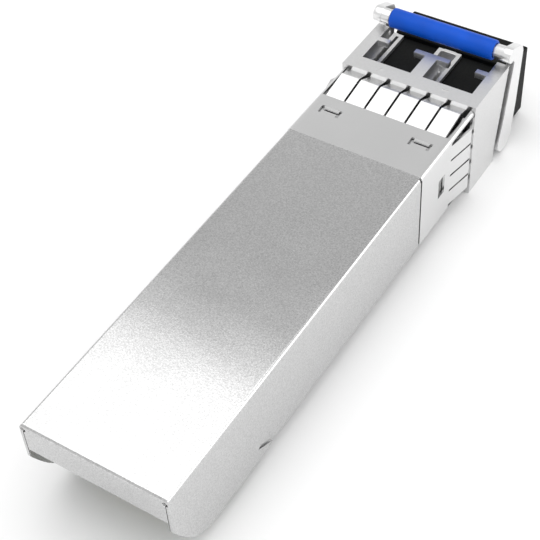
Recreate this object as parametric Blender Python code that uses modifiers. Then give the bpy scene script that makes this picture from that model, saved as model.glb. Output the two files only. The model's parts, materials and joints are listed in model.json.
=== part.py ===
"""Pluggable optical transceiver module with a duplex port, a bail latch and a dust plug.

Places are written as (x, s, h) in millimetres: x is across the module, s is the distance from
its rear end towards the ports, and h is the height above its flat bottom face. at() turns them
into the part's own frame: metres, +Z up, the ports facing -Y, the origin under the middle.
"""

import math

import bmesh
import bpy
from mathutils import Matrix, Vector

MM = 0.001

# Body, as the pluggable module standard sets it.
BODY_HALF = 6.7
BODY_TOP = 8.5
STOP = 47.5
STOP_PAD = 0.05
LATCH_FACE = 45.0
SKIRT_LENGTH = 10.4
FLOOR = 0.9

# Top cover, folded from sheet, with a joggled tongue under the collar.
COVER_SHEET = 0.35
COVER_FRONT = 37.5
COVER_EDGE = 0.35
REAR_FLAP_EDGE = 5.6
TONGUE_HALF = 6.5
TONGUE_TOP = 8.3
TONGUE_FRONT = 46.6

# Shielding collar, pressed from thin spring sheet.
COLLAR_SHEET = 0.2
COLLAR_HALF = 6.76
COLLAR_TOP = 8.56
COLLAR_REAR = 37.6
COLLAR_FRONT = 47.3
COLLAR_BEND = 0.28
FLANGE_H = 0.15
FLANGE_EDGE = 4.8
FINGER_ROOT = 43.2
FINGER_SLIT = 0.16
FINGER_RISE = 0.48
FINGER_TIP_DROP = 0.1
FINGER_CREST = 0.75
FINGER_STEPS = 4
ROOF_FINGERS = 3
SIDE_FINGERS = 4

# Nose, with two ports side by side.
NOSE_HALF = 6.85
NOSE_TOP = 8.95
NOSE_DROP = 1.4
NOSE_FRONT = 56.4
NOSE_INNER_HALF = 6.1
NOSE_FRONT_TOP = 6.9
PORT_X = 3.125
PORT_AXIS = 4.2
PORT_HALF = 2.25
PORT_BACK = 49.4
LATCH_SLOT_HALF = 1.92
WINDOW_REAR = 49.25
WINDOW_INNER = 0.62
WINDOW_OUTER = 5.65
WINDOW_FLOOR = 6.85
CATCH_REAR = 52.15
CATCH_FRONT = 52.7
CATCH_BOTTOM = 8.35
SCREW_X = 3.7
SCREW_S = 46.0

# Bail, its cam shaft and the release slider.
PIVOT_S = 54.6
PIVOT_H = 0.35
SHAFT_R = 0.55
SHAFT_CLEARANCE = 0.07
EYE_R = 1.5
ARM_INNER = 6.3
ARM_OUTER = 7.1
BAR_S = 54.5
BAR_H = 10.15
BAR_R = 0.7
WAIST_R = 0.6
GRIP_R = 0.96
GRIP_HALF = 5.35
CAM_TIP = 1.4
CAM_HALF = 0.45
CAM_WIDTH = 0.75
BAY_REAR = 48.3
BAY_FRONT = 55.9
BAY_TOP = 1.3
SLIDER_HALF = 3.1
SLIDER_BOTTOM = -1.05
SLIDER_TOP = -0.45
LUG_FACE = 53.8
LUG_THICK = 0.6
PRONG_X = 1.9
PRONG_HALF = 0.4
PRONG_REAR = 42.0

# Dust plug.
PLUG_HEAD_REAR = 56.7
PLUG_HEAD_FRONT = 60.75
PLUG_HEAD_HALF = 6.15
PLUG_HEAD_BOTTOM = -0.9
PLUG_HEAD_TOP = 6.9
PLUG_PRONG_REAR = 50.7
PLUG_PRONG_HALF = 2.15

# Board and optical sub-assemblies.
BOARD_BOTTOM = 2.25
BOARD_TOP = 3.25
BOARD_REAR = 3.2
BOARD_FRONT = 38.4
BOARD_HALF = 5.45
EDGE_HALF = 4.6
CAN_REAR = 40.6
CAN_FRONT = 44.6
CAN_R = 2.35
BARREL_R = 1.45
BARREL_FRONT = 53.6

MIDDLE = PLUG_HEAD_FRONT / 2
GAP = 0.1
PAST = 2.0

# Colour, metallic, roughness.
FINISHES = {
    "zinc_casting": ((0.62, 0.62, 0.63), 1.0, 0.42),
    "nickel_sheet": ((0.72, 0.72, 0.72), 1.0, 0.38),
    "spring_sheet": ((0.76, 0.76, 0.75), 1.0, 0.28),
    "blue_plastic": ((0.01, 0.10, 0.70), 0.0, 0.40),
    "black_rubber": ((0.02, 0.022, 0.02), 0.0, 0.65),
    "steel": ((0.60, 0.60, 0.61), 1.0, 0.30),
    "ceramic": ((0.86, 0.85, 0.80), 0.0, 0.35),
    "board_green": ((0.02, 0.16, 0.07), 0.0, 0.45),
    "flex_amber": ((0.55, 0.28, 0.05), 0.0, 0.40),
    "chip_black": ((0.03, 0.03, 0.032), 0.0, 0.50),
    "capacitor_tan": ((0.45, 0.33, 0.22), 0.0, 0.50),
    "pad_grey": ((0.45, 0.50, 0.55), 0.0, 0.80),
}


TURNS = {
    "up": (0.0, 0.0, 0.0),
    "forward": (math.pi / 2, 0.0, 0.0),
    "right": (0.0, math.pi / 2, 0.0),
}


def at(x, s, h):
    return Vector((x, MIDDLE - s, h + NOSE_DROP)) * MM


def clear_scene():
    for obj in list(bpy.data.objects):
        bpy.data.objects.remove(obj, do_unlink=True)


def new_collection(name):
    collection = bpy.data.collections.new(name)
    bpy.context.scene.collection.children.link(collection)
    return collection


def finish(name):
    found = bpy.data.materials.get(name)
    if found:
        return found
    colour, metallic, roughness = FINISHES[name]
    material = bpy.data.materials.new(name)
    material.use_nodes = True
    shader = material.node_tree.nodes["Principled BSDF"]
    shader.inputs["Base Color"].default_value = (*colour, 1.0)
    shader.inputs["Metallic"].default_value = metallic
    shader.inputs["Roughness"].default_value = roughness
    return material


def add_object(name, mesh, material=None, cutter=False):
    """An object of the model, or with cutter=True a shape that only cuts or joins."""
    obj = bpy.data.objects.new(name, mesh)
    if cutter:
        CUTTERS.objects.link(obj)
        obj.hide_render = True
        obj.display_type = "WIRE"
    else:
        MODEL.objects.link(obj)
        mesh.materials.append(finish(material))
    return obj


def from_bmesh(name, bm, material=None, cutter=False):
    bmesh.ops.recalc_face_normals(bm, faces=bm.faces)
    mesh = bpy.data.meshes.new(name)
    bm.to_mesh(mesh)
    bm.free()
    return add_object(name, mesh, material, cutter)


def block(name, xs, ss, hs, material=None, cutter=False):
    """A box between the given limits across, along and up."""
    low = at(xs[0], ss[1], hs[0])
    high = at(xs[1], ss[0], hs[1])
    bm = bmesh.new()
    bmesh.ops.create_cube(bm, size=1.0)
    bmesh.ops.scale(bm, vec=high - low, verts=bm.verts)
    bmesh.ops.translate(bm, vec=(high + low) / 2, verts=bm.verts)
    return from_bmesh(name, bm, material, cutter)


def rod(name, start, end, radius, material=None, cutter=False, sides=24):
    """A cylinder between two places."""
    low, high = at(*start), at(*end)
    run = high - low
    bm = bmesh.new()
    bmesh.ops.create_cone(
        bm,
        cap_ends=True,
        segments=sides,
        radius1=radius * MM,
        radius2=radius * MM,
        depth=run.length,
    )
    turn = run.to_track_quat("Z", "Y").to_matrix().to_4x4()
    bmesh.ops.transform(bm, matrix=Matrix.Translation((low + high) / 2) @ turn, verts=bm.verts)
    return from_bmesh(name, bm, material, cutter)


def slab(name, outline, xs, material=None, cutter=False):
    """A flat outline of (s, h) points, extruded across the module between two x."""
    curve = bpy.data.curves.new(name, "CURVE")
    curve.dimensions = "2D"
    curve.fill_mode = "BOTH"
    curve.extrude = (xs[1] - xs[0]) / 2 * MM
    spline = curve.splines.new("POLY")
    spline.points.add(len(outline) - 1)
    for point, (s, h) in zip(spline.points, outline):
        point.co = (s * MM, h * MM, 0.0, 1.0)
    spline.use_cyclic_u = True
    guide = bpy.data.objects.new(name + "_outline", curve)
    CUTTERS.objects.link(guide)
    forward, up, left = Vector((0, -1, 0)), Vector((0, 0, 1)), Vector((-1, 0, 0))
    stand = Matrix((forward, up, left)).transposed().to_4x4()
    guide.matrix_world = Matrix.Translation(at(sum(xs) / 2, 0, 0)) @ stand
    bpy.context.view_layer.update()
    flat = bpy.data.meshes.new_from_object(guide.evaluated_get(bpy.context.evaluated_depsgraph_get()))
    bm = bmesh.new()
    bm.from_mesh(flat)
    bmesh.ops.remove_doubles(bm, verts=bm.verts, dist=1e-6)
    bmesh.ops.transform(bm, matrix=guide.matrix_world, verts=bm.verts)
    bpy.data.objects.remove(guide)
    bpy.data.meshes.remove(flat)
    return from_bmesh(name, bm, material, cutter)


def turned(name, profile, place, axis, material, steps=24):
    """A closed profile of (radius, distance) points, turned about an axis through place.

    The distance is measured along the axis, which is "up", "forward" or "right".
    """
    mesh = bpy.data.meshes.new(name)
    verts = [(radius * MM, 0.0, distance * MM) for radius, distance in profile]
    hollow = profile[0][0] > 0
    edges = [(i, i + 1) for i in range(len(profile) - 1)]
    if hollow:
        edges.append((len(profile) - 1, 0))
    mesh.from_pydata(verts, edges, [])
    obj = add_object(name, mesh, material)
    obj.location = at(*place)
    obj.rotation_euler = TURNS[axis]
    screw = obj.modifiers.new("turn", "SCREW")
    screw.steps = screw.render_steps = steps
    screw.use_merge_vertices = True
    screw.merge_threshold = 1e-6
    return smooth(obj)


def ring(inner, outer, length):
    """The profile of a plain tube that starts at its place."""
    return [(outer, length), (outer, 0), (inner, 0), (inner, length)]


def combine(obj, other, operation):
    modifier = obj.modifiers.new(other.name, "BOOLEAN")
    modifier.operation = operation
    modifier.solver = "EXACT"
    modifier.object = other
    return obj


def cut(obj, *cutters):
    for cutter in cutters:
        combine(obj, cutter, "DIFFERENCE")
    return obj


def join(obj, *others):
    for other in others:
        combine(obj, other, "UNION")
    return obj


def cut_block(obj, name, xs, ss, hs):
    return cut(obj, block(name, xs, ss, hs, cutter=True))


def join_block(obj, name, xs, ss, hs):
    return join(obj, block(name, xs, ss, hs, cutter=True))


def both_sides(low, high):
    """The stretch of x from low to high on the right, and its mirror image on the left."""
    return (("right", (low, high)), ("left", (-high, -low)))


def corner_arc(centre, radius, start, end, steps=5):
    """Points of (s, h) on an arc between two angles in degrees, 0 pointing forward, 90 up."""
    points = []
    for i in range(steps + 1):
        angle = math.radians(start + (end - start) * i / steps)
        points.append((centre[0] + radius * math.cos(angle), centre[1] + radius * math.sin(angle)))
    return points


def smooth(obj, degrees=40):
    obj.data.shade_smooth()
    obj.data.set_sharp_from_angle(angle=math.radians(degrees))
    return obj


# ---------------------------------------------------------------- housing


def base_housing():
    """Cast lower tray: floor, side walls, board ledges, can saddle and the latch boss below."""
    wall = BODY_HALF - COVER_SHEET - GAP
    front_wall = TONGUE_HALF - COVER_SHEET - GAP
    inside = 5.6
    wall_top = 5.2
    flange_clear = 0.32
    base = block("base_housing", (-wall, wall), (SKIRT_LENGTH, 36.5), (0, wall_top), "zinc_casting")
    front = (36.0, COLLAR_FRONT)
    join_block(base, "base_front", (-front_wall, front_wall), front, (flange_clear, wall_top))
    join_block(base, "base_keel", (-4.6, 4.6), front, (0, 2.0))
    cut_block(base, "base_cavity", (-inside, inside), (SKIRT_LENGTH - PAST, 39.2), (FLOOR, 10))
    cut_block(base, "base_well", (-inside, inside), (39.0, COLLAR_FRONT + PAST), (1.5, 10))
    join_block(base, "can_saddle", (-inside - GAP, inside + GAP), (41.0, 44.0), (1.0, 4.1))
    for side, xs in both_sides(5.0, 5.9):
        join_block(base, "board_ledge_" + side, xs, (SKIRT_LENGTH, 39.1), (0.5, BOARD_BOTTOM - 0.05))
    for side, x in (("right", PORT_X), ("left", -PORT_X)):
        start, end = (x, 39, PORT_AXIS), (x, 46, PORT_AXIS)
        cut(base, rod("can_seat_" + side, start, end, CAN_R + GAP, cutter=True))
    cut_block(base, "slider_channel", (-2.5, 2.5), (40.2, 50), (-1, 0.85))
    boss = [(LATCH_FACE, 1.1), (LATCH_FACE, -0.45), (43.7, -0.45), (42.4, 0.0), (42.4, 1.1)]
    join(base, slab("latch_boss", boss, (-1.3, 1.3), cutter=True))
    for side, x in (("right", SCREW_X), ("left", -SCREW_X)):
        cut(base, rod("screw_hole_" + side, (x, SCREW_S, -1), (x, SCREW_S, 3), 0.6, cutter=True))
        cut(base, rod("screw_seat_" + side, (x, SCREW_S, -1), (x, SCREW_S, 0.6), 1.0, cutter=True))
    return base


def top_cover():
    """Folded sheet cover: roof, two side flaps, a short rear flap and a joggled front tongue."""
    inner = BODY_HALF - COVER_SHEET
    roof = BODY_TOP - COVER_SHEET
    tongue_inner = TONGUE_HALF - COVER_SHEET
    tongue_roof = TONGUE_TOP - COVER_SHEET
    cover = block("top_cover", (-BODY_HALF, BODY_HALF), (0, COVER_FRONT), (0, BODY_TOP), "nickel_sheet")
    cut_block(cover, "cover_hollow", (-inner, inner), (COVER_SHEET, 60), (-1, roof))
    reach = (36.9, TONGUE_FRONT)
    tongue = block("cover_tongue", (-TONGUE_HALF, TONGUE_HALF), reach, (0.6, TONGUE_TOP), cutter=True)
    cut_block(tongue, "tongue_hollow", (-tongue_inner, tongue_inner), (30, 60), (-1, tongue_roof))
    join(cover, tongue)
    cut_block(cover, "rear_mouth", (-inner, inner), (-1, 1), (-1, REAR_FLAP_EDGE))
    cut_block(cover, "forward_edge", (-8, 8), (13.1, 60), (-1, COVER_EDGE))
    heel = [(-1, 4.6), (0.0, 4.6), (0.25, 3.9), (1.7, 1.65), (2.4, 0.8), (3.3, 0.25), (4.6, 0.0)]
    heel += [(4.6, -1), (-1, -1)]
    cut(cover, slab("skirt_heel", heel, (-8, 8), cutter=True))
    toe = [(12.2, -0.5), (12.2, 0.0), (13.2, 0.45), (13.2, -0.5)]
    cut(cover, slab("skirt_toe", toe, (-8, 8), cutter=True))
    slit = [(13.05, 0.2), (13.4, 0.45), (11.3, 1.65), (11.1, 1.42)]
    cut(cover, slab("snap_slit", slit, (-8, 8), cutter=True))
    for side, xs in both_sides(inner - GAP, inner):
        cut_block(cover, "fold_seam_" + side, xs, (-1, 0.6), (-1, 8.1))
    for side, xs in both_sides(6.2, 6.6):
        cut_block(cover, "fold_relief_" + side, xs, (-1, COVER_SHEET), (7.9, 8.35))
    return cover


# ---------------------------------------------------------------- collar


def bend(centre, radius, start, end):
    """A rounded corner of the collar's section."""
    points = []
    for i in range(3):
        angle = math.radians(start + (end - start) * i / 2)
        out = (math.cos(angle), math.sin(angle))
        place = (centre[0] + radius * out[0], centre[1] + radius * out[1])
        points.append((place, out, None, False))
    return points


def row_of_fingers(start, step, count, out):
    """Edges of a row of spring fingers, a slit apart, from start on."""
    points = []
    slit = FINGER_SLIT / 2
    length = math.hypot(*step)
    unit = (step[0] / length, step[1] / length)
    for i in range(count):
        near = (start[0] + step[0] * i, start[1] + step[1] * i)
        middle = (near[0] + step[0] / 2, near[1] + step[1] / 2)
        for along, cut_after in ((slit, False), (length - slit, True)):
            place = (near[0] + unit[0] * along, near[1] + unit[1] * along)
            points.append((place, out, middle, cut_after))
    return points


def collar_section():
    """Right half of the collar's section, from the middle of its roof round to its flange.

    Each point is its (x, h) place, the way out from the sheet, the middle of the finger that
    it belongs to if it does, and whether the strip after it is cut away between fingers.
    """
    half = COLLAR_HALF - COLLAR_SHEET / 2
    top = COLLAR_TOP - COLLAR_SHEET / 2
    straight_top = half - COLLAR_BEND
    straight_side = top - COLLAR_BEND
    side_low = FLANGE_H + COLLAR_BEND + FINGER_SLIT
    points = [((0, top), (0, 1), None, True)]
    pitch = (straight_top - FINGER_SLIT) / ROOF_FINGERS
    points += row_of_fingers((0, top), (pitch, 0), ROOF_FINGERS, (0, 1))
    points += bend((straight_top, straight_side), COLLAR_BEND, 90, 0)
    points[-1] = (*points[-1][:3], True)
    pitch = (straight_side - FINGER_SLIT - side_low) / SIDE_FINGERS
    start = (half, straight_side - FINGER_SLIT)
    points += row_of_fingers(start, (0, -pitch), SIDE_FINGERS, (1, 0))
    points += bend((straight_top, FLANGE_H + COLLAR_BEND), COLLAR_BEND, 0, -90)
    points.append(((FLANGE_EDGE, FLANGE_H), (0, -1), None, False))
    return points


def finger_rise(t):
    """How far a finger stands proud, from its root at t = 0 to its tip at t = 1."""
    if t <= FINGER_CREST:
        return FINGER_RISE * t / FINGER_CREST
    fall = (t - FINGER_CREST) / (1 - FINGER_CREST)
    return FINGER_RISE - (FINGER_RISE + FINGER_TIP_DROP) * fall


def collar_place(point, row):
    """Where a point of the section goes in a given row: 0 is the rear edge, 1 the finger roots."""
    (x, h), out, middle, _ = point
    if row == 0:
        return at(x, COLLAR_REAR, h)
    t = (row - 1) / FINGER_STEPS
    s = FINGER_ROOT + (COLLAR_FRONT - FINGER_ROOT) * t
    if middle is None:
        return at(x, s, h)
    narrow = 0.25 * max(0.0, (t - FINGER_CREST) / (1 - FINGER_CREST))
    x += (middle[0] - x) * narrow + out[0] * finger_rise(t)
    h += (middle[1] - h) * narrow + out[1] * finger_rise(t)
    return at(x, s, h)


def emi_collar():
    """Shielding collar pressed from spring sheet, with creased fingers and lanced locking tabs."""
    points = collar_section()
    columns, rows = len(points) - 1, FINGER_STEPS + 1
    bm = bmesh.new()
    bmesh.ops.create_grid(bm, x_segments=columns, y_segments=rows, size=0.5)
    place = {v: (round((v.co.x + 0.5) * columns), round((v.co.y + 0.5) * rows)) for v in bm.verts}
    slits = []
    for face in bm.faces:
        column = min(place[v][0] for v in face.verts)
        row = min(place[v][1] for v in face.verts)
        if points[column][3] and row > 0:
            slits.append(face)
    for vert, (column, row) in place.items():
        vert.co = collar_place(points[column], row)
    bmesh.ops.delete(bm, geom=slits, context="FACES")
    collar = from_bmesh("emi_collar", bm, "spring_sheet")
    mirror = collar.modifiers.new("other_half", "MIRROR")
    mirror.merge_threshold = 1e-5
    sheet = collar.modifiers.new("sheet", "SOLIDIFY")
    sheet.thickness = COLLAR_SHEET * MM
    sheet.offset = 0.0
    for side, sign in (("right", 1), ("left", -1)):
        roof_tab(collar, side, sign)
        side_tab(collar, side, sign)
    return collar


def roof_tab(collar, side, sign):
    """Slits on three sides of a locking tab in the collar's roof, hinged at its front edge."""
    near, far, slit = 3.53, 5.57, 0.22
    rear, front = 40.7, 41.8
    through = (COLLAR_TOP - 0.6, COLLAR_TOP + 0.4)
    for name, a, b, ss in (
        ("near", near, near + slit, (rear, front)),
        ("far", far - slit, far, (rear, front)),
        ("rear", near, far, (rear, rear + slit)),
    ):
        xs = tuple(sorted((sign * a, sign * b)))
        cut_block(collar, f"roof_tab_{name}_{side}", xs, ss, through)


def side_tab(collar, side, sign):
    """Slits on three sides of a locking tab in the collar's flank, hinged at its rear edge."""
    low, high, slit = 3.3, 5.4, 0.2
    rear, front = 40.9, 42.1
    xs = tuple(sorted((sign * (COLLAR_HALF - 0.5), sign * (COLLAR_HALF + 0.5))))
    cut_block(collar, f"side_tab_low_{side}", xs, (rear, front), (low, low + slit))
    cut_block(collar, f"side_tab_high_{side}", xs, (rear, front), (high - slit, high))
    cut_block(collar, f"side_tab_front_{side}", xs, (front - slit, front), (low, high))


# ---------------------------------------------------------------- nose


def open_port(nose, side, sign):
    """One duplex port: the socket, the latch slot in its ceiling and the window above it."""

    def across(a, b):
        return tuple(sorted((sign * a, sign * b)))

    low, high = PORT_AXIS - PORT_HALF, PORT_AXIS + PORT_HALF
    port = across(PORT_X - PORT_HALF, PORT_X + PORT_HALF)
    slot = across(PORT_X - LATCH_SLOT_HALF, PORT_X + LATCH_SLOT_HALF)
    window = across(WINDOW_INNER, WINDOW_OUTER)
    catch_gap = across(1.8, 4.5)
    cut_block(nose, "port_" + side, port, (PORT_BACK, 60), (low, high))
    cut_block(nose, "latch_slot_" + side, slot, (PORT_BACK, 60), (high - 0.5, NOSE_FRONT_TOP + 0.5))
    cut_block(nose, "window_" + side, window, (WINDOW_REAR, CATCH_REAR), (WINDOW_FLOOR, 12))
    cut_block(nose, "catch_throat_" + side, window, (CATCH_REAR - 1, 60), (WINDOW_FLOOR, CATCH_BOTTOM))
    cut_block(nose, "catch_gap_" + side, catch_gap, (CATCH_REAR - 1, 60), (CATCH_BOTTOM - 0.4, 12))
    start, seat, through = (sign * PORT_X, 46, PORT_AXIS), 48.6, 50
    for name, end, radius in (("flange_seat_", seat, 2.2), ("barrel_bore_", through, 1.55)):
        cut(nose, rod(name + side, start, (start[0], end, PORT_AXIS), radius, cutter=True))


def nose_receptacle():
    """Cast nose: two ports with latch catches, the pivot bore and the slider's bay."""
    rear = STOP + STOP_PAD
    flank = [(rear, -NOSE_DROP), (rear, NOSE_TOP), (54.5, NOSE_TOP), (52.65, 0.0), (52.65, -NOSE_DROP)]
    core_bottom = 0.05 - NOSE_DROP
    core = [(50, core_bottom), (50, NOSE_FRONT_TOP), (NOSE_FRONT, NOSE_FRONT_TOP)]
    core += [(NOSE_FRONT, -0.9), (NOSE_FRONT - 0.45, core_bottom)]
    nose = slab("nose_receptacle", flank, (-NOSE_HALF, NOSE_HALF), "zinc_casting")
    join(nose, slab("nose_core", core, (-NOSE_INNER_HALF, NOSE_INNER_HALF), cutter=True))
    join_block(nose, "stop_pad", (-6.75, 6.75), (STOP, 48), (-1.35, -0.2))
    for side, xs in both_sides(2.75, 5.4):
        join_block(nose, "tongue_" + side, xs, (44.9, STOP + 0.5), (1.6, 2.4))
    for side, sign in (("right", 1), ("left", -1)):
        open_port(nose, side, sign)
        x = sign * SCREW_X
        cut(nose, rod("screw_thread_" + side, (x, SCREW_S, 1), (x, SCREW_S, 3), 0.55, cutter=True))
        prong = (sign * PRONG_X - 0.5, sign * PRONG_X + 0.5)
        cut_block(nose, "prong_way_" + side, prong, (46, BAY_REAR + 0.5), (0.05, 0.85))
    cut_block(nose, "open_front", (-WINDOW_OUTER, WINDOW_OUTER), (CATCH_FRONT, 60), (NOSE_FRONT_TOP, 12))
    cut_block(nose, "slider_bay", (-3.3, 3.3), (BAY_REAR, BAY_FRONT), (-1.15, BAY_TOP))
    cut_block(nose, "slider_mouth", (-2.6, 2.6), (BAY_REAR, BAY_FRONT), (-3, -1.0))
    start, end = (-8, PIVOT_S, PIVOT_H), (8, PIVOT_S, PIVOT_H)
    return cut(nose, rod("pivot_bore", start, end, SHAFT_R + SHAFT_CLEARANCE, cutter=True))


def nose_screw(name, x):
    """A countersunk cross-head screw that holds one of the nose's tongues to the base."""
    profile = [(0, 2.15), (0.5, 2.15), (0.5, 0.5), (0.92, 0.12), (0.92, 0), (0, 0)]
    screw = turned(name, profile, (x, SCREW_S, 0.08), "up", "steel", 20)
    cut_block(screw, name + "_slot_a", (x - 0.5, x + 0.5), (SCREW_S - 0.1, SCREW_S + 0.1), (-1, 0.3))
    cut_block(screw, name + "_slot_b", (x - 0.1, x + 0.1), (SCREW_S - 0.5, SCREW_S + 0.5), (-1, 0.3))
    return screw


# ---------------------------------------------------------------- latch


def bail_arm(name, xs):
    """One side plate of the bail, from its pivot eye to the eye round its crossbar."""
    outline = corner_arc((PIVOT_S, PIVOT_H), EYE_R, 175, 375, 8)
    outline += [(56.45, 3.4), (56.95, 9.2)]
    outline += corner_arc((56.2, 9.6), 0.6, 10, 80, 2)
    outline += corner_arc((BAR_S, BAR_H), BAR_R + 0.05, 60, 290, 8)
    outline += [(55.1, 9.0), (53.75, 2.5)]
    return slab(name, outline, xs, cutter=True)


def bail():
    """Bail lever in one piece: two side plates, crossbar, pivot shaft and cam."""
    shoulder = GRIP_HALF + GAP
    start, end = (-ARM_OUTER + 0.2, BAR_S, BAR_H), (ARM_OUTER - 0.2, BAR_S, BAR_H)
    lever = rod("bail", start, end, WAIST_R, "zinc_casting")
    for side, (low, high) in both_sides(shoulder, ARM_OUTER - 0.1):
        ends = (low, BAR_S, BAR_H), (high, BAR_S, BAR_H)
        join(lever, rod("bar_end_" + side, *ends, BAR_R, cutter=True))
    for side, xs in both_sides(ARM_INNER, ARM_OUTER):
        join(lever, bail_arm("arm_" + side, xs))
    start, end = (-ARM_OUTER + 0.1, PIVOT_S, PIVOT_H), (ARM_OUTER - 0.1, PIVOT_S, PIVOT_H)
    join(lever, rod("pivot_shaft", start, end, SHAFT_R, cutter=True))
    cam = corner_arc((PIVOT_S, PIVOT_H - CAM_TIP + CAM_HALF), CAM_HALF, 180, 360, 6)
    cam += [(PIVOT_S + CAM_HALF, PIVOT_H), (PIVOT_S - CAM_HALF, PIVOT_H)]
    return join(lever, slab("cam", cam, (-CAM_WIDTH, CAM_WIDTH), cutter=True))


def bail_grip():
    """Moulded sleeve round the crossbar."""
    profile = ring(WAIST_R + GAP, GRIP_R, 2 * GRIP_HALF)
    return turned("bail_grip", profile, (-GRIP_HALF, BAR_S, BAR_H), "right", "blue_plastic", 28)


def release_slider():
    """Sheet slider: a plate under the nose, a lug that the cam pushes, and two release prongs."""
    plate = (50.2, BAY_FRONT - 0.15)
    slider = block("release_slider", (-SLIDER_HALF, SLIDER_HALF), plate, (SLIDER_BOTTOM, SLIDER_TOP), "steel")
    cut_block(slider, "cam_window", (-1.1, 1.1), (LUG_FACE, 55.3), (-2, 0))
    lug = (LUG_FACE - LUG_THICK, LUG_FACE)
    join_block(slider, "lug", (-0.8, 0.8), lug, (SLIDER_BOTTOM + 0.1, 1.1))
    for side, sign in (("right", 1), ("left", -1)):
        xs = (sign * PRONG_X - PRONG_HALF, sign * PRONG_X + PRONG_HALF)
        join_block(slider, "riser_" + side, xs, (50.1, 50.8), (SLIDER_BOTTOM + 0.05, 0.75))
        join_block(slider, "prong_" + side, xs, (PRONG_REAR, 50.7), (0.15, 0.75))
        wedge = [(46.5, 0.4), (46.5, 0.15), (47.0, -0.15), (47.3, -0.15), (47.3, 0.4)]
        join(slider, slab("wedge_" + side, wedge, xs, cutter=True))
    return slider


def slider_spring():
    """Coil spring between the nose and the slider's lug, along the module."""
    turns, steps = 6, 10
    radius, start, end = 0.54, 48.6, 53.0
    curve = bpy.data.curves.new("slider_spring", "CURVE")
    curve.dimensions = "3D"
    curve.bevel_depth = 0.11 * MM
    curve.bevel_resolution = 2
    curve.use_fill_caps = True
    spline = curve.splines.new("POLY")
    count = turns * steps
    spline.points.add(count)
    for i, point in enumerate(spline.points):
        angle = 2 * math.pi * i / steps
        s = start + (end - start) * i / count
        place = at(radius * math.cos(angle), s, 0.55 + radius * math.sin(angle))
        point.co = (*place, 1.0)
    coil = bpy.data.objects.new(curve.name, curve)
    curve.materials.append(finish("steel"))
    MODEL.objects.link(coil)
    return coil


def dust_plug():
    """Rubber plug that closes both ports: a head outside and a hollow prong in each port."""
    height = (PLUG_HEAD_BOTTOM, PLUG_HEAD_TOP)
    head = (PLUG_HEAD_REAR, PLUG_HEAD_FRONT)
    plug = block("dust_plug", (-PLUG_HEAD_HALF, PLUG_HEAD_HALF), head, height, "black_rubber")
    edges = plug.modifiers.new("soft_edges", "BEVEL")
    edges.width = 0.25 * MM
    edges.segments = 2
    front, top = PLUG_HEAD_FRONT, PLUG_HEAD_TOP
    lead = [(front - 0.45, top + 0.1), (front + 0.1, top - 0.45), (front + 1, top - 0.45), (front + 1, top + 0.1)]
    cut(plug, slab("bail_clearance", lead, (-8, 8), cutter=True))
    for side, sign in (("right", 1), ("left", -1)):
        x = sign * PORT_X
        prong = (x - PLUG_PRONG_HALF, x + PLUG_PRONG_HALF)
        hs = (PORT_AXIS - PLUG_PRONG_HALF, PORT_AXIS + PLUG_PRONG_HALF)
        join_block(plug, "prong_of_plug_" + side, prong, (PLUG_PRONG_REAR, 57.5), hs)
        start, end = (x, PLUG_PRONG_REAR - 1, PORT_AXIS), (x, 57.6, PORT_AXIS)
        cut(plug, rod("ferrule_room_" + side, start, end, 1.7, cutter=True))
    return plug


# ---------------------------------------------------------------- inside


def circuit_board():
    """Board with a narrower edge connector that reaches out over the rear opening."""
    thick = (BOARD_BOTTOM, BOARD_TOP)
    board = block("circuit_board", (-EDGE_HALF, EDGE_HALF), (BOARD_REAR, 12), thick, "board_green")
    return join_block(board, "board_body", (-BOARD_HALF, BOARD_HALF), (10.8, BOARD_FRONT), thick)


def optical_assembly(kind, sign):
    """Can, receptacle barrel, ceramic sleeve and flex circuit of one optical channel."""
    x = sign * PORT_X
    can = [(0, 4.0), (CAN_R, 4.0), (CAN_R, 1.0), (CAN_R - 0.35, 0.8), (CAN_R - 0.35, 0), (0, 0)]
    turned(kind + "_can", can, (x, CAN_REAR, PORT_AXIS), "forward", "steel")
    start = CAN_FRONT + GAP
    length = BARREL_FRONT - start
    flange = (47.65 - start, 48.5 - start)
    barrel = [(0, 2.0), (1.1, 2.0), (1.1, length), (BARREL_R, length), (BARREL_R, flange[1])]
    barrel += [(2.1, flange[1]), (2.1, flange[0]), (BARREL_R, flange[0]), (BARREL_R, 0), (0, 0)]
    turned(kind + "_barrel", barrel, (x, start, PORT_AXIS), "forward", "steel")
    sleeve = ring(0.65, 1.0, 6.5)
    turned(kind + "_sleeve", sleeve, (x, start + 2.1, PORT_AXIS), "forward", "ceramic", 20)
    flex = [(35.6, 3.33), (39.4, 3.33), (40.1, 4.0), (40.1, 6.3)]
    flex += [(39.95, 6.3), (39.95, 4.07), (39.34, 3.48), (35.6, 3.48)]
    slab(kind + "_flex", flex, (x - 2.0, x + 2.0), "flex_amber")


def can_clamp():
    """Bracket that presses both cans down into their saddle."""
    clamp = block("can_clamp", (-5.4, 5.4), (41.2, 43.8), (4.3, 7.75), "zinc_casting")
    for side, x in (("right", PORT_X), ("left", -PORT_X)):
        start, end = (x, 40, PORT_AXIS), (x, 46, PORT_AXIS)
        cut(clamp, rod("clamp_seat_" + side, start, end, CAN_R + GAP, cutter=True))
    return clamp


def component(name, middle, size, base, material):
    """A part soldered to the board, with its lower face at height base."""
    (x, s), (width, length, height) = middle, size
    xs, ss = (x - width / 2, x + width / 2), (s - length / 2, s + length / 2)
    body = block(name, xs, ss, (base, base + height), material)
    edges = body.modifiers.new("soft_edges", "BEVEL")
    edges.width = 0.06 * MM
    return body


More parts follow.
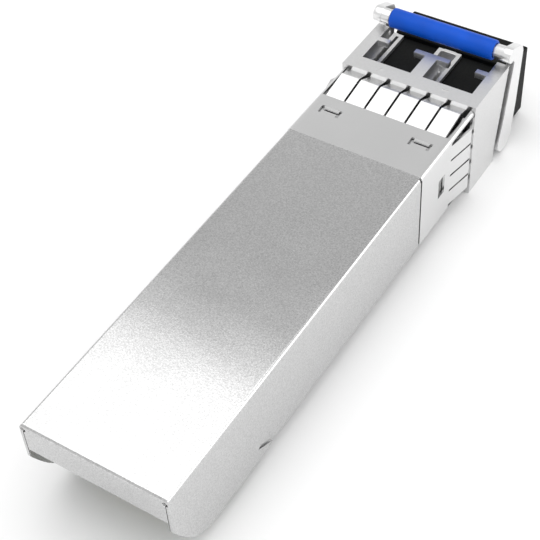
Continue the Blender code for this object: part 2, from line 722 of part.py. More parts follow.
def board_components():
    """Chips, power inductors and capacitors on the board, and the pad that cools the driver."""
    above, below = BOARD_TOP + GAP, BOARD_BOTTOM - GAP
    component("laser_driver", (2.7, 29.0), (3.6, 3.6, 0.9), above, "chip_black")
    component("receive_amplifier", (-2.7, 29.5), (3.0, 3.0, 0.8), above, "chip_black")
    component("controller_chip", (0, 21.0), (5.0, 5.0, 0.9), below - 0.9, "chip_black")
    component("memory_chip", (-3.0, 15.5), (2.0, 3.0, 0.7), above, "chip_black")
    for i in range(2):
        component(f"power_inductor_{i + 1}", (2.9, 19.0 + 3.2 * i), (2.2, 2.2, 1.3), above, "chip_black")
    for i in range(6):
        place = (-1.2 - 1.7 * (i % 2), 19.0 + 2.3 * (i // 2))
        component(f"capacitor_{i + 1}", place, (0.6, 1.1, 0.6), above, "capacitor_tan")
    pad_base = above + 0.9 + GAP
    pad_top = BODY_TOP - COVER_SHEET - GAP
    component("thermal_pad", (2.7, 29.0), (4.0, 4.0, pad_top - pad_base), pad_base, "pad_grey")


def build():
    base_housing()
    top_cover()
    emi_collar()
    nose_receptacle()
    nose_screw("nose_screw_right", SCREW_X)
    nose_screw("nose_screw_left", -SCREW_X)
    bail()
    bail_grip()
    release_slider()
    slider_spring()
    dust_plug()
    circuit_board()
    optical_assembly("transmitter", 1)
    optical_assembly("receiver", -1)
    can_clamp()
    board_components()


clear_scene()
MODEL = new_collection("optical_transceiver_module")
CUTTERS = new_collection("cutters")
build()
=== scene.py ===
import json
import math

import bmesh
import bpy
from mathutils import Matrix, Vector


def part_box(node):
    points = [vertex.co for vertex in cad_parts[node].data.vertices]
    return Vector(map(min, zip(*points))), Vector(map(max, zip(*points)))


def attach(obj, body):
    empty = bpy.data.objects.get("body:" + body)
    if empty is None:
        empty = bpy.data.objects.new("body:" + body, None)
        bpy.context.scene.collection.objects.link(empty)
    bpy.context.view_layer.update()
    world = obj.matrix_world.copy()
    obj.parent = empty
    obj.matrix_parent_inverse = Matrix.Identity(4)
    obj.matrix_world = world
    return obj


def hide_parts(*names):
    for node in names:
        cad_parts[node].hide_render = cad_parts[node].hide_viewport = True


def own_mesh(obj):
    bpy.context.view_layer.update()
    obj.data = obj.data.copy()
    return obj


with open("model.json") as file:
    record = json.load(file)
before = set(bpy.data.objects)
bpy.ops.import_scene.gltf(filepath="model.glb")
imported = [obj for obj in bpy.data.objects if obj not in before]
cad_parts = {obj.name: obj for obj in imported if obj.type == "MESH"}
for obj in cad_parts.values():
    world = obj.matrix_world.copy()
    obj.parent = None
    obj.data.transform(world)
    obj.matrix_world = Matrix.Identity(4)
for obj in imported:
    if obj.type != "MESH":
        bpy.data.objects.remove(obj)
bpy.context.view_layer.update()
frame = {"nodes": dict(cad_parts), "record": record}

# Places are written as in the part: x across, s forward from the rear end and h above the base,
# in millimetres. at() turns them into the frame's metres.
MM = 0.001
REAR_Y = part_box("top_cover")[1][1]
BASE_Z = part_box("top_cover")[0][2]

COVER_HALF = 6.7
COVER_TOP = 8.5
COVER_SHEET = 0.35
COVER_FRONT = 37.62
COVER_BEND = 0.3
COVER_BEND_INSIDE = 0.1
REAR_FLAP_EDGE = 5.6
SEAM = (0.04, 0.1)
SEAM_TOP = 7.9
RELIEF = (6.4, 8.0)
RELIEF_R = 0.24
TONGUE_HALF = 6.5
TONGUE_TOP = 8.3
TONGUE_REAR = 36.9
TONGUE_FRONT = 46.6
TONGUE_LOW = 0.6
# Cut from the side flaps, in (s, h): the strip below their raised front edge and the snap slit.
EDGE_AND_SLIT = (
    (12.2, -1),
    (12.2, 0.02),
    (13.0, 0.3),
    (11.02, 1.36),
    (11.3, 1.74),
    (13.7, 0.36),
    (60, 0.35),
    (60, -1),
)

COLLAR_HALF = 6.76
COLLAR_TOP = 8.56
COLLAR_SHEET = 0.2
COLLAR_REAR = 37.6
COLLAR_FRONT = 47.52
COLLAR_BEND = 0.28
FLANGE_H = 0.15
FLANGE_EDGE = 4.8
FINGER_ROOT = 43.2
FINGER_SLIT = 0.22
FINGER_RISE = 0.5
FINGER_TIP_DROP = 0.1
FINGER_CREST = 2 / 3
FINGER_STEPS = 12
FINGER_COLUMNS = 4
FINGER_TAPER = 0.14
BEND_STEPS = 4
ROOF_FINGERS = 3
SIDE_FINGERS = 4

ROOF_TAB = (3.5, 5.6, 41.2, 41.85)
ROOF_TAB_NOTCH = 0.3
SIDE_TAB_HEIGHTS = (3.3, 5.4)
SIDE_TAB_REAR, SIDE_TAB_FRONT = 40.9, 42.1
SIDE_TAB_SLIT = 0.18

BAR_S = 54.5
BAR_H = 10.15
GRIP_R = 0.96
GRIP_HALF = 5.35
GRIP_BORE = 0.7
GRIP_LIP = 0.18

NOSE_TOP = 8.95
MARK_DEPTH = 0.07
MARK_HALF, MARK_LENGTH = 0.36, 0.62
RECESS_FLOOR = 5.25
RECESS_REAR, RECESS_FRONT = 49.3, 56.0
RECESS_SPANS = ((0.6, 0.82), (5.4, 5.67))
BOARD_REAR = 3.2
BOARD_FACES = (2.25, 3.25)
CONTACT_COUNT = 10
CONTACT_PITCH = 0.8
CONTACT_HALF, CONTACT_LENGTH, CONTACT_PROUD = 0.25, 2.3, 0.02

SPRING_START, SPRING_END, SPRING_HEIGHT = 48.6, 53.0, 0.55
SPRING_R, SPRING_WIRE, SPRING_TURNS = 0.54, 0.11, 6

SMALL_ROUND, SHARP_ANGLE = 0.035, 35

CAMERA_PLACE = (-42.72, -37.06, 85.55)
CAMERA_TURN = (43.143, 2.752, -147.847)
CAMERA_LENS = 87.9

# The part of a noise's range in which most of its values lie.
NOISE_LOW, NOISE_HIGH = 0.3, 0.7

# Sine of the elevation, and the brightness of the studio there.
SKY = ((0.0, 0.88), (0.62, 0.78), (0.70, 0.66), (1.0, 0.66))


def at(x, s, h):
    return Vector((x * MM, REAR_Y - s * MM, BASE_Z + h * MM))


# ---------------------------------------------------------------- camera and stage


def set_camera():
    data = bpy.data.cameras.new("camera")
    data.lens = CAMERA_LENS
    data.sensor_width = 36.0
    data.clip_start = 0.005
    data.clip_end = 5.0
    camera = bpy.data.objects.new("camera", data)
    camera.location = at(*CAMERA_PLACE)
    camera.rotation_euler = [math.radians(a) for a in CAMERA_TURN]
    bpy.context.scene.collection.objects.link(camera)
    bpy.context.scene.camera = camera


def area_light(name, place, target, size, power):
    data = bpy.data.lights.new(name, "AREA")
    data.shape = "RECTANGLE"
    data.size, data.size_y = size
    data.energy = power
    light = bpy.data.objects.new(name, data)
    light.location = place
    light.rotation_euler = (Vector(target) - Vector(place)).to_track_quat("-Z", "Y").to_euler()
    bpy.context.scene.collection.objects.link(light)


def sky_by_height(world, steps):
    """Brightness of the studio by height: pairs of the sine of the elevation and the strength."""
    tree = world.node_tree
    background = tree.nodes["Background"]
    direction = tree.nodes.new("ShaderNodeTexCoord")
    split = tree.nodes.new("ShaderNodeSeparateXYZ")
    ramp = tree.nodes.new("ShaderNodeValToRGB")
    tree.links.new(direction.outputs["Generated"], split.inputs["Vector"])
    tree.links.new(split.outputs["Z"], ramp.inputs["Fac"])
    brightest = max(strength for _, strength in steps)
    elements = ramp.color_ramp.elements
    for (height, strength), element in zip(steps, (elements[0], elements[1])):
        element.position = height
    while len(elements) < len(steps):
        elements.new(1.0)
    for (height, strength), element in zip(steps, elements):
        element.position = height
        element.color = (*(strength / brightest,) * 3, 1.0)
    tree.links.new(ramp.outputs["Color"], background.inputs["Color"])
    background.inputs["Strength"].default_value = brightest


def set_stage():
    world = bpy.data.worlds.new("studio")
    world.use_nodes = True
    sky_by_height(world, SKY)
    bpy.context.scene.world = world
    bpy.context.scene.view_settings.view_transform = "Standard"
    mesh = bpy.data.meshes.new("floor")
    bm = bmesh.new()
    bmesh.ops.create_grid(bm, x_segments=1, y_segments=1, size=1.0)
    bm.to_mesh(mesh)
    bm.free()
    floor = bpy.data.objects.new("floor", mesh)
    bpy.context.scene.collection.objects.link(floor)
    shade = new_material("floor_paper", (0.88, 0.88, 0.88), 0.0, 0.9)
    mesh.materials.append(shade.material)
    area_light("side_box", (-0.32, -0.22, 0.16), (0, 0, 0), (0.25, 0.3), 0.35)
    # The front edge of the ceiling box is what the cover mirrors as the edge of its bright rear.
    middle = REAR_Y + 0.035
    area_light("ceiling_box", (0, middle, 0.5), (0, middle, 0), (0.72, 0.72), 2.15)


# ---------------------------------------------------------------- materials


class Shade:
    """A Principled material with a few node helpers."""

    def __init__(self, name):
        self.material = bpy.data.materials.new(name)
        self.material.use_nodes = True
        self.tree = self.material.node_tree
        self.shader = self.tree.nodes["Principled BSDF"]
        self.coordinates = self.tree.nodes.new("ShaderNodeTexCoord")

    def link(self, out, into):
        self.tree.links.new(out, into)

    def noise(self, scale, stretch, detail, roughness):
        """A noise over the object's own coordinates, in metres; scale is in cells a metre."""
        mapping = self.tree.nodes.new("ShaderNodeMapping")
        mapping.inputs["Scale"].default_value = stretch
        self.link(self.coordinates.outputs["Object"], mapping.inputs["Vector"])
        noise = self.tree.nodes.new("ShaderNodeTexNoise")
        noise.inputs["Scale"].default_value = scale
        noise.inputs["Detail"].default_value = detail
        noise.inputs["Roughness"].default_value = roughness
        self.link(mapping.outputs["Vector"], noise.inputs["Vector"])
        return noise.outputs["Fac"]

    def remap(self, value, to_low, to_high):
        """Stretches the usual span of a noise over the given one."""
        node = self.tree.nodes.new("ShaderNodeMapRange")
        node.inputs["From Min"].default_value = NOISE_LOW
        node.inputs["From Max"].default_value = NOISE_HIGH
        node.inputs["To Min"].default_value = to_low
        node.inputs["To Max"].default_value = to_high
        self.link(value, node.inputs["Value"])
        return node.outputs["Result"]

    def colours(self, value, first, second):
        """Blends from the first colour to the second over the usual span of a noise."""
        ramp = self.tree.nodes.new("ShaderNodeValToRGB")
        ramp.color_ramp.elements[0].position = NOISE_LOW
        ramp.color_ramp.elements[0].color = (*first, 1.0)
        ramp.color_ramp.elements[1].position = NOISE_HIGH
        ramp.color_ramp.elements[1].color = (*second, 1.0)
        self.link(value, ramp.inputs["Fac"])
        return ramp.outputs["Color"]

    def bump(self, value, height):
        node = self.tree.nodes.new("ShaderNodeBump")
        node.inputs["Strength"].default_value = 1.0
        node.inputs["Distance"].default_value = height * MM
        self.link(value, node.inputs["Height"])
        return node.outputs["Normal"]


def new_material(name, colour, metallic, roughness):
    shade = Shade(name)
    shade.shader.inputs["Base Color"].default_value = (*colour, 1.0)
    shade.shader.inputs["Metallic"].default_value = metallic
    shade.shader.inputs["Roughness"].default_value = roughness
    return shade


def tinted(colour, factor):
    return tuple(min(1.0, c * factor) for c in colour)


def grained_metal(name, colour, roughness, grain, depth, stretch=(1, 1, 1), blotch=0.05):
    """Metal with a fine grain in its colour and surface, and a faint broad unevenness in gloss."""
    shade = new_material(name, colour, 1.0, roughness)
    fine = shade.noise(grain, stretch, 1.5, 0.5)
    broad = shade.noise(220.0, (1, 1, 1), 2.0, 0.5)
    light = shade.colours(fine, tinted(colour, 1 - blotch), tinted(colour, 1 + blotch))
    shade.link(light, shade.shader.inputs["Base Color"])
    gloss = shade.remap(broad, roughness - 0.02, roughness + 0.02)
    shade.link(gloss, shade.shader.inputs["Roughness"])
    shade.link(shade.bump(fine, depth), shade.shader.inputs["Normal"])
    return shade.material


def moulded(name, colour, roughness, grain, depth, specular=0.5):
    """Plastic, rubber, resin or ceramic with a fine texture and a faint unevenness in colour."""
    shade = new_material(name, colour, 0.0, roughness)
    shade.shader.inputs["Specular IOR Level"].default_value = specular
    fine = shade.noise(grain, (1, 1, 1), 3.0, 0.6)
    broad = shade.noise(400.0, (1, 1, 1), 2.0, 0.5)
    shades = shade.colours(broad, tinted(colour, 0.9), tinted(colour, 1.12))
    shade.link(shades, shade.shader.inputs["Base Color"])
    gloss = shade.remap(fine, roughness - 0.06, roughness + 0.08)
    shade.link(gloss, shade.shader.inputs["Roughness"])
    shade.link(shade.bump(fine, depth), shade.shader.inputs["Normal"])
    return shade.material


def make_materials():
    return {
        "cover_sheet": grained_metal("cover_nickel", (0.58, 0.58, 0.58), 0.14, 7500, 0.0012, blotch=0.16),
        "collar_sheet": grained_metal("collar_nickel", (0.72, 0.72, 0.72), 0.2, 5000, 0.0005, blotch=0.01),
        "cast_metal": grained_metal("cast_zinc", (0.70, 0.70, 0.70), 0.36, 4500, 0.004, blotch=0.02),
        "bail_metal": grained_metal("bail_zinc", (0.82, 0.82, 0.82), 0.3, 4500, 0.003, blotch=0.02),
        "steel": grained_metal("stainless", (0.60, 0.60, 0.61), 0.3, 6000, 0.002, (1, 0.1, 1)),
        "gold_contacts": grained_metal("gold_plate", (0.85, 0.62, 0.25), 0.25, 6000, 0.001),
        "blue_grip": moulded("blue_polymer", (0.001, 0.075, 0.50), 0.42, 4000, 0.003, 0.2),
        "black_rubber": moulded("black_rubber", (0.003, 0.0034, 0.0032), 0.6, 5000, 0.006, 0.15),
        "board": moulded("solder_mask", (0.012, 0.13, 0.05), 0.4, 3000, 0.003),
        "ceramic": moulded("ceramic", (0.80, 0.79, 0.74), 0.3, 6000, 0.001),
        "flex_film": moulded("amber_film", (0.50, 0.24, 0.04), 0.35, 3000, 0.001),
        "chip": moulded("chip_resin", (0.02, 0.02, 0.022), 0.5, 7000, 0.005),
        "capacitor": moulded("capacitor_body", (0.42, 0.30, 0.20), 0.5, 7000, 0.004),
        "gap_pad": moulded("gap_pad", (0.38, 0.43, 0.48), 0.8, 4000, 0.01),
    }


# ---------------------------------------------------------------- shaping


def object_from(name, bm):
    bmesh.ops.recalc_face_normals(bm, faces=bm.faces)
    mesh = bpy.data.meshes.new(name)
    bm.to_mesh(mesh)
    bm.free()
    obj = bpy.data.objects.new(name, mesh)
    bpy.context.scene.collection.objects.link(obj)
    return obj


def block(name, xs, ss, hs):
    low, high = at(xs[0], ss[1], hs[0]), at(xs[1], ss[0], hs[1])
    bm = bmesh.new()
    bmesh.ops.create_cube(bm, size=1.0)
    bmesh.ops.scale(bm, vec=high - low, verts=bm.verts)
    bmesh.ops.translate(bm, vec=(high + low) / 2, verts=bm.verts)
    return object_from(name, bm)


def rod(name, start, end, radius, sides):
    low, high = at(*start), at(*end)
    run = high - low
    bm = bmesh.new()
    bmesh.ops.create_cone(
        bm, cap_ends=True, segments=sides, radius1=radius * MM, radius2=radius * MM, depth=run.length
    )
    turn = run.to_track_quat("Z", "Y").to_matrix().to_4x4()
    bmesh.ops.transform(bm, matrix=Matrix.Translation((low + high) / 2) @ turn, verts=bm.verts)
    return object_from(name, bm)


def prism(name, foot, run):
    """A face with the given corners, extruded along a run."""
    bm = bmesh.new()
    face = bm.faces.new([bm.verts.new(corner) for corner in foot])
    made = bmesh.ops.extrude_face_region(bm, geom=[face])["geom"]
    moved = [v for v in made if isinstance(v, bmesh.types.BMVert)]
    bmesh.ops.translate(bm, vec=run, verts=moved)
    return object_from(name, bm)


def slab(name, outline, xs):
    """An outline of (s, h) points extruded across the module between two x."""
    return prism(name, [at(xs[0], s, h) for s, h in outline], (xs[1] * MM - xs[0] * MM, 0, 0))


def bevel_edges(obj, radius, chosen, segments):
    """Rounds the edges of a fresh block for which chosen(first end, second end) is true."""
    bm = bmesh.new()
    bm.from_mesh(obj.data)
    edges = [e for e in bm.edges if chosen(e.verts[0].co, e.verts[1].co)]
    bmesh.ops.bevel(bm, geom=edges, offset=radius * MM, segments=segments, profile=0.5, affect="EDGES")
    bm.to_mesh(obj.data)
    bm.free()
    return obj


def combine(obj, others, operation):
    """Cuts the others from the object, or joins them to it, and removes them."""
    for other in others:
        modifier = obj.modifiers.new("combine", "BOOLEAN")
        modifier.operation = operation
        modifier.solver = "EXACT"
        modifier.object = other
    settle(obj)
    for other in others:
        bpy.data.objects.remove(other)
    return obj


def cut(obj, *others):
    return combine(obj, others, "DIFFERENCE")


def join(obj, *others):
    return combine(obj, others, "UNION")


def settle(obj):
    """Applies the object's modifiers to its mesh."""
    bpy.context.view_layer.update()
    graph = bpy.context.evaluated_depsgraph_get()
    mesh = bpy.data.meshes.new_from_object(obj.evaluated_get(graph))
    obj.modifiers.clear()
    old = obj.data
    obj.data = mesh
    bpy.data.meshes.remove(old)
    return obj


def soften(obj, radius, segments):
    """Breaks every edge sharper than SHARP_ANGLE with a small round, and shades the result."""
    bm = bmesh.new()
    bm.from_mesh(obj.data)
    bmesh.ops.remove_doubles(bm, verts=bm.verts, dist=1e-7)
    bmesh.ops.dissolve_limit(bm, angle_limit=math.radians(0.5), verts=bm.verts, edges=bm.edges)
    bm.to_mesh(obj.data)
    bm.free()
    obj.data.shade_smooth()
    bevel = obj.modifiers.new("soft_edges", "BEVEL")
    bevel.width = radius * MM
    bevel.segments = segments
    bevel.limit_method = "ANGLE"
    bevel.angle_limit = math.radians(SHARP_ANGLE)
    obj.modifiers.new("flat_faces", "WEIGHTED_NORMAL").keep_sharp = True
    return settle(obj)


def place(obj, body, slot, *nodes):
    """Gives a piece its material and body, and hides the CAD nodes it stands for."""
    obj.data.materials.clear()
    obj.data.materials.append(MATERIALS[slot])
    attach(obj, body)
    if nodes:
        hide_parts(*nodes)
    return obj


def copy_of(node, name):
    """A new object with a copy of a CAD node's shape."""
    obj = bpy.data.objects.new(name, frame["nodes"][node].data.copy())
    bpy.context.scene.collection.objects.link(obj)
    return obj


def refined(node, name, body, slot, radius, segments):
    """A copy of a CAD node's shape with its edges rounded."""
    obj = copy_of(node, name)
    soften(obj, radius, segments)
    return place(obj, body, slot, node)


# ---------------------------------------------------------------- cover


def make_cover():
    """Folded cover with round bends, a seam and relief hole at each rear corner and a snap slit."""
    inner, roof = COVER_HALF - COVER_SHEET, COVER_TOP - COVER_SHEET
    top_z, roof_z = at(0, 0, COVER_TOP).z, at(0, 0, roof).z

    def long_top(z):
        return lambda a, b: abs(a.z - z) < 1e-6 and abs(b.z - z) < 1e-6 and abs(a.x - b.x) < 1e-6

    def rear_top(z, y):
        return lambda a, b: min(a.z, b.z) > z - 1e-6 and min(a.y, b.y) > y - 1e-6

    def bends(z, y):
        return lambda a, b: long_top(z)(a, b) or rear_top(z, y)(a, b)

    cover = block("cover", (-COVER_HALF, COVER_HALF), (0, COVER_FRONT), (0, COVER_TOP))
    bevel_edges(cover, COVER_BEND, bends(top_z, at(0, 0, 0).y), 5)
    hollow = block("hollow", (-inner, inner), (COVER_SHEET, 60), (-1, roof))
    bevel_edges(hollow, COVER_BEND_INSIDE, bends(roof_z, at(0, COVER_SHEET, 0).y), 2)
    cut(cover, hollow)
    tongue_ss, tongue_hs = (TONGUE_REAR, TONGUE_FRONT), (TONGUE_LOW, TONGUE_TOP)
    tongue = block("tongue", (-TONGUE_HALF, TONGUE_HALF), tongue_ss, tongue_hs)
    bevel_edges(tongue, COVER_BEND, long_top(at(0, 0, TONGUE_TOP).z), 4)
    tongue_in, tongue_roof = TONGUE_HALF - COVER_SHEET, TONGUE_TOP - COVER_SHEET
    cut(tongue, block("tongue_hollow", (-tongue_in, tongue_in), (30, 60), (-1, tongue_roof)))
    join(cover, tongue)
    cuts = [
        block("rear_mouth", (-inner, inner), (-1, 1), (-1, REAR_FLAP_EDGE)),
        slab("heel", heel_outline(), (-8, 8)),
        slab("edge_and_slit", EDGE_AND_SLIT, (-8, 8)),
    ]
    for sign in (1, -1):
        seam = sorted(sign * (inner + edge) for edge in SEAM)
        cuts.append(block("seam", seam, (-1, 0.33), (-1, SEAM_TOP)))
        x, h = sign * RELIEF[0], RELIEF[1]
        cuts.append(rod("relief", (x, -1, h), (x, 0.31, h), RELIEF_R, 16))
        flank = sorted((sign * 6.53, sign * 8))
        cuts.append(block("front_gap", flank, (37.5, 38), (-1, 8.27)))
        cuts.append(block("front_notch", flank, (37.36, 37.9), (8.1, 9)))
    cut(cover, *cuts)
    soften(cover, SMALL_ROUND, 2)
    return place(cover, "module", "cover_sheet", "top_cover")


def heel_outline():
    """The rear lower corner cut off each side flap, as one smooth sweep."""
    reach, steps = 4.6, 16
    points = [(-1, reach), (0.0, reach)]
    start, pull_a = Vector((0.0, reach)), Vector((0.9, 2.9))
    pull_b, end = Vector((2.2, 0.0)), Vector((reach, 0.0))
    for i in range(1, steps + 1):
        t = i / steps
        u = 1 - t
        p = u ** 3 * start + 3 * u ** 2 * t * pull_a + 3 * u * t * t * pull_b + t ** 3 * end
        points.append((p.x, p.y))
    return points + [(reach, -1), (-1, -1)]


# ---------------------------------------------------------------- collar


def bend(centre, radius, start, end):
    """Points round a bend, each with its outward direction."""
    points = []
    for i in range(BEND_STEPS + 1):
        angle = math.radians(start + (end - start) * i / BEND_STEPS)
        out = (math.cos(angle), math.sin(angle))
        spot = (centre[0] + radius * out[0], centre[1] + radius * out[1])
        points.append((spot, out, None, False))
    return points


def row_of_fingers(start, step, count, out):
    """Points across a row of spring fingers, a slit apart."""
    points = []
    length = math.hypot(*step)
    unit = (step[0] / length, step[1] / length)
    for i in range(count):
        near = (start[0] + step[0] * i, start[1] + step[1] * i)
        middle = (near[0] + step[0] / 2, near[1] + step[1] / 2)
        for j in range(FINGER_COLUMNS + 1):
            along = FINGER_SLIT / 2 + (length - FINGER_SLIT) * j / FINGER_COLUMNS
            spot = (near[0] + unit[0] * along, near[1] + unit[1] * along)
            points.append((spot, out, middle, j == FINGER_COLUMNS))
    return points


def collar_section():
    """Right half of the collar's section, from the middle of its roof down to its lower edge.

    A point is its place, its outward direction, the middle of its finger or None, and whether a
    slit follows it.
    """
    half, top = COLLAR_HALF - COLLAR_SHEET / 2, COLLAR_TOP - COLLAR_SHEET / 2
    straight_top, straight_side = half - COLLAR_BEND, top - COLLAR_BEND
    points = [((0, top), (0, 1), None, True)]
    pitch = (straight_top - FINGER_SLIT) / ROOF_FINGERS
    points += row_of_fingers((0, top), (pitch, 0), ROOF_FINGERS, (0, 1))
    points += bend((straight_top, straight_side), COLLAR_BEND, 90, 0)
    points[-1] = (*points[-1][:3], True)
    low = FLANGE_H + COLLAR_BEND + FINGER_SLIT
    pitch = (straight_side - FINGER_SLIT - low) / SIDE_FINGERS
    points += row_of_fingers((half, straight_side - FINGER_SLIT), (0, -pitch), SIDE_FINGERS, (1, 0))
    points += bend((straight_top, FLANGE_H + COLLAR_BEND), COLLAR_BEND, 0, -90)
    points.append(((FLANGE_EDGE, FLANGE_H), (0, -1), None, False))
    return points


def finger_rise(t):
    """How far a finger stands proud, from its root at t = 0 to its tip at t = 1."""
    if t <= FINGER_CREST:
        return FINGER_RISE * t / FINGER_CREST
    fall = (t - FINGER_CREST) / (1 - FINGER_CREST)
    return FINGER_RISE - (FINGER_RISE + FINGER_TIP_DROP) * fall


def collar_place(point, row):
    """Where a point of the section lies in a row: row 0 is the rear edge, the rest the fingers."""
    (x, h), out, middle, _ = point
    if row == 0:
        return at(x, COLLAR_REAR, h)
    t = (row - 1) / FINGER_STEPS
    s = FINGER_ROOT + (COLLAR_FRONT - FINGER_ROOT) * t
    if middle is None:
        return at(x, s, h)
    narrow = FINGER_TAPER * max(0.0, (t - FINGER_CREST) / (1 - FINGER_CREST))
    rise = finger_rise(t)
    x += (middle[0] - x) * narrow + out[0] * rise
    h += (middle[1] - h) * narrow + out[1] * rise
    return at(x, s, h)


def make_collar():
    """One bent sheet with slits between its spring fingers, and four locking tabs."""
    points = collar_section()
    columns, rows = len(points) - 1, FINGER_STEPS + 1
    bm = bmesh.new()
    bmesh.ops.create_grid(bm, x_segments=columns, y_segments=rows, size=0.5)
    cell = {v: (round((v.co.x + 0.5) * columns), round((v.co.y + 0.5) * rows)) for v in bm.verts}
    slits = []
    for face in bm.faces:
        column = min(cell[v][0] for v in face.verts)
        row = min(cell[v][1] for v in face.verts)
        if points[column][3] and row > 0:
            slits.append(face)
    for vert, (column, row) in cell.items():
        vert.co = collar_place(points[column], row)
    bmesh.ops.delete(bm, geom=slits, context="FACES")
    collar = object_from("collar", bm)
    mirror = collar.modifiers.new("other_half", "MIRROR")
    mirror.merge_threshold = 1e-6
    sheet = collar.modifiers.new("sheet", "SOLIDIFY")
    sheet.thickness = COLLAR_SHEET * MM
    sheet.offset = 0.0
    settle(collar)
    cuts, tabs = [], []
    for sign in (1, -1):
        for holes, tab in (roof_tab(sign), side_tab(sign)):
            cuts += holes
            tabs.append(tab)
    cut(collar, *cuts)
    join(collar, *tabs)
    crease(collar)
    return place(collar, "module", "collar_sheet", "emi_collar")


def crease(obj):
    """Shades the bends along the collar as smooth, and every fold across its sheet as crisp."""
    bm = bmesh.new()
    bm.from_mesh(obj.data)
    bmesh.ops.remove_doubles(bm, verts=bm.verts, dist=1e-7)
    for face in bm.faces:
        face.smooth = True
    for edge in bm.edges:
        run = (edge.verts[1].co - edge.verts[0].co).normalized()
        limit = 4 if abs(run.y) < 0.5 else 40
        edge.smooth = len(edge.link_faces) == 2 and edge.calc_face_angle() < math.radians(limit)
    bm.to_mesh(obj.data)
    bm.free()
    obj.modifiers.new("flat_faces", "WEIGHTED_NORMAL").keep_sharp = True
    settle(obj)


def roof_tab(sign):
    """The slot in the roof for a locking tab, with a notch at each end, and its pressed-down lip."""
    (near, far, rear, front), notch, top = ROOF_TAB, ROOF_TAB_NOTCH, COLLAR_TOP
    through = (top - 0.5, top + 0.5)
    slots = [block("slot", sorted((sign * near, sign * far)), (rear, front), through)]
    for a, b in ((near, near + notch), (far - notch, far)):
        slots.append(block("notch", sorted((sign * a, sign * b)), (rear - 0.35, rear + 0.1), through))
    xs = sorted((sign * (near + notch), sign * (far - notch)))
    outline = [(rear + 0.36, top - 0.07), (front + 0.1, top - 0.04), (front + 0.1, top - 0.15)]
    outline += [(rear + 0.36, top - 0.19)]
    return slots, slab("tab", outline, xs)


def side_tab(sign):
    """The hole in a flank for a locking tab, and the tab, pressed in towards its front end."""
    (low, high), slit = SIDE_TAB_HEIGHTS, SIDE_TAB_SLIT
    xs = sorted((sign * (COLLAR_HALF - 0.5), sign * (COLLAR_HALF + 0.5)))
    hole = block("hole", xs, (SIDE_TAB_REAR, SIDE_TAB_FRONT), (low, high))
    outer, inner = COLLAR_HALF - 0.02, COLLAR_HALF - COLLAR_SHEET + 0.02
    root, tip = SIDE_TAB_REAR - 0.1, SIDE_TAB_FRONT - slit
    plan = [(outer, root), (outer - 0.26, tip), (inner - 0.24, tip), (inner, root)]
    foot = [at(sign * x, s, low + slit) for x, s in plan]
    return [hole], prism("tab", foot, (0, 0, (high - low - 2 * slit) * MM))


# ---------------------------------------------------------------- nose and contacts


def arrow_mark(x, s, way):
    """A triangular prism that sinks a direction mark into the roof of the nose."""
    corners = [(x - MARK_HALF, s), (x + MARK_HALF, s), (x, s + way * MARK_LENGTH)]
    foot = [at(*corner, NOSE_TOP - MARK_DEPTH) for corner in corners]
    return prism("mark", foot, (0, 0, 0.5 * MM))


def make_nose():
    """The cast nose with rounded edges, direction marks and recesses beside the port windows."""
    nose = copy_of("nose_receptacle", "nose")
    cut(nose, arrow_mark(3.2, 48.0, 1), arrow_mark(-3.28, 48.62, -1))
    recesses = [block("middle_recess", (-0.82, 0.82), (53.1, RECESS_FRONT), (5.2, 12))]
    for sign in (1, -1):
        for near, far in RECESS_SPANS:
            xs = sorted((sign * near, sign * far))
            recesses.append(block("recess", xs, (RECESS_REAR, RECESS_FRONT), (RECESS_FLOOR, 7.2)))
    cut(nose, *recesses)
    soften(nose, SMALL_ROUND, 2)
    return place(nose, "module", "cast_metal", "nose_receptacle")


def make_contacts():
    """A row of gold-plated contacts on each face of the board's edge."""
    start = BOARD_REAR + 0.3
    ss = (start, start + CONTACT_LENGTH)
    for name, face in zip(("contacts_below", "contacts_above"), BOARD_FACES):
        pads = []
        hs = (face - CONTACT_PROUD, face + CONTACT_PROUD)
        for i in range(CONTACT_COUNT):
            x = (i - (CONTACT_COUNT - 1) / 2) * CONTACT_PITCH
            pads.append(block("pad", (x - CONTACT_HALF, x + CONTACT_HALF), ss, hs))
        first = join(pads[0], *pads[1:])
        first.name = name
        place(first, "module", "gold_contacts")


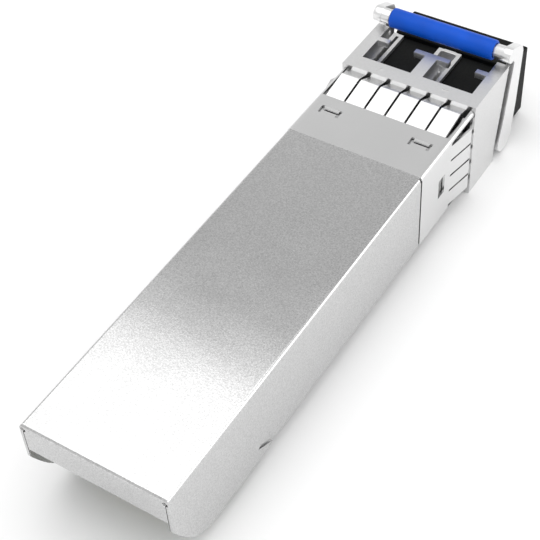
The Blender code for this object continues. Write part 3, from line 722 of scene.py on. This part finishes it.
def make_spring():
    """The slider's coil spring."""
    steps, sides = 24, 8
    length = SPRING_END - SPRING_START
    bm = bmesh.new()
    rings = []
    for i in range(SPRING_TURNS * steps + 1):
        angle = 2 * math.pi * i / steps
        s = SPRING_START + length * i / (SPRING_TURNS * steps)
        out = Vector((math.cos(angle), 0, math.sin(angle)))
        middle = at(0, s, SPRING_HEIGHT) + out * SPRING_R * MM
        ring = []
        for j in range(sides):
            around = 2 * math.pi * j / sides
            offset = out * math.cos(around) + Vector((0, 1, 0)) * math.sin(around)
            ring.append(bm.verts.new(middle + offset * SPRING_WIRE * MM))
        rings.append(ring)
    for first, second in zip(rings, rings[1:]):
        for j in range(sides):
            k = (j + 1) % sides
            bm.faces.new((first[j], first[k], second[k], second[j]))
    bm.faces.new(rings[0])
    bm.faces.new(rings[-1])
    spring = object_from("return_spring", bm)
    spring.data.shade_smooth()
    spring.data.set_sharp_from_angle(angle=math.radians(60))
    place(spring, "module", "steel", "slider_spring")
    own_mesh(spring)


# ---------------------------------------------------------------- bail grip


def make_grip():
    """Moulded sleeve with rounded ends, turned about the crossbar."""
    r_middle, x_middle = GRIP_R - GRIP_LIP, -GRIP_HALF + GRIP_LIP
    profile = [(GRIP_BORE, -GRIP_HALF), (r_middle, -GRIP_HALF)]
    for i in range(1, 6):
        angle = math.radians(18 * i)
        r = r_middle + GRIP_LIP * math.sin(angle)
        profile.append((r, x_middle - GRIP_LIP * math.cos(angle)))
    profile += [(r, -x) for r, x in reversed(profile)]
    bm = bmesh.new()
    verts = [bm.verts.new(at(x, BAR_S, BAR_H + r)) for r, x in profile]
    edges = [bm.edges.new((verts[i], verts[(i + 1) % len(verts)])) for i in range(len(verts))]
    bmesh.ops.spin(
        bm, geom=verts + edges, cent=at(0, BAR_S, BAR_H), axis=(1, 0, 0), angle=2 * math.pi, steps=48,
        use_merge=True,
    )
    bmesh.ops.remove_doubles(bm, verts=bm.verts, dist=1e-7)
    grip = object_from("grip", bm)
    grip.data.shade_smooth()
    grip.data.set_sharp_from_angle(angle=math.radians(50))
    return place(grip, "bail_lever", "blue_grip", "bail_grip")


# ---------------------------------------------------------------- the scene

MATERIALS = make_materials()
set_camera()
set_stage()
make_cover()
make_collar()
make_grip()
make_nose()
make_contacts()
make_spring()
refined("base_housing", "base", "module", "cast_metal", 0.04, 2)
refined("bail", "bail_frame", "bail_lever", "bail_metal", 0.05, 2)
refined("dust_plug", "plug", "plug", "black_rubber", 0.06, 2)
refined("release_slider", "slider_plate", "slider", "steel", 0.04, 2)
refined("can_clamp", "clamp", "module", "cast_metal", 0.05, 2)
refined("circuit_board", "board", "module", "board", 0.03, 1)

SLOTS = {part["node"]: part["material_slot"] for part in frame["record"]["subparts"]}
for name, node in frame["nodes"].items():
    node.data.materials.clear()
    node.data.materials.append(MATERIALS[SLOTS[name]])
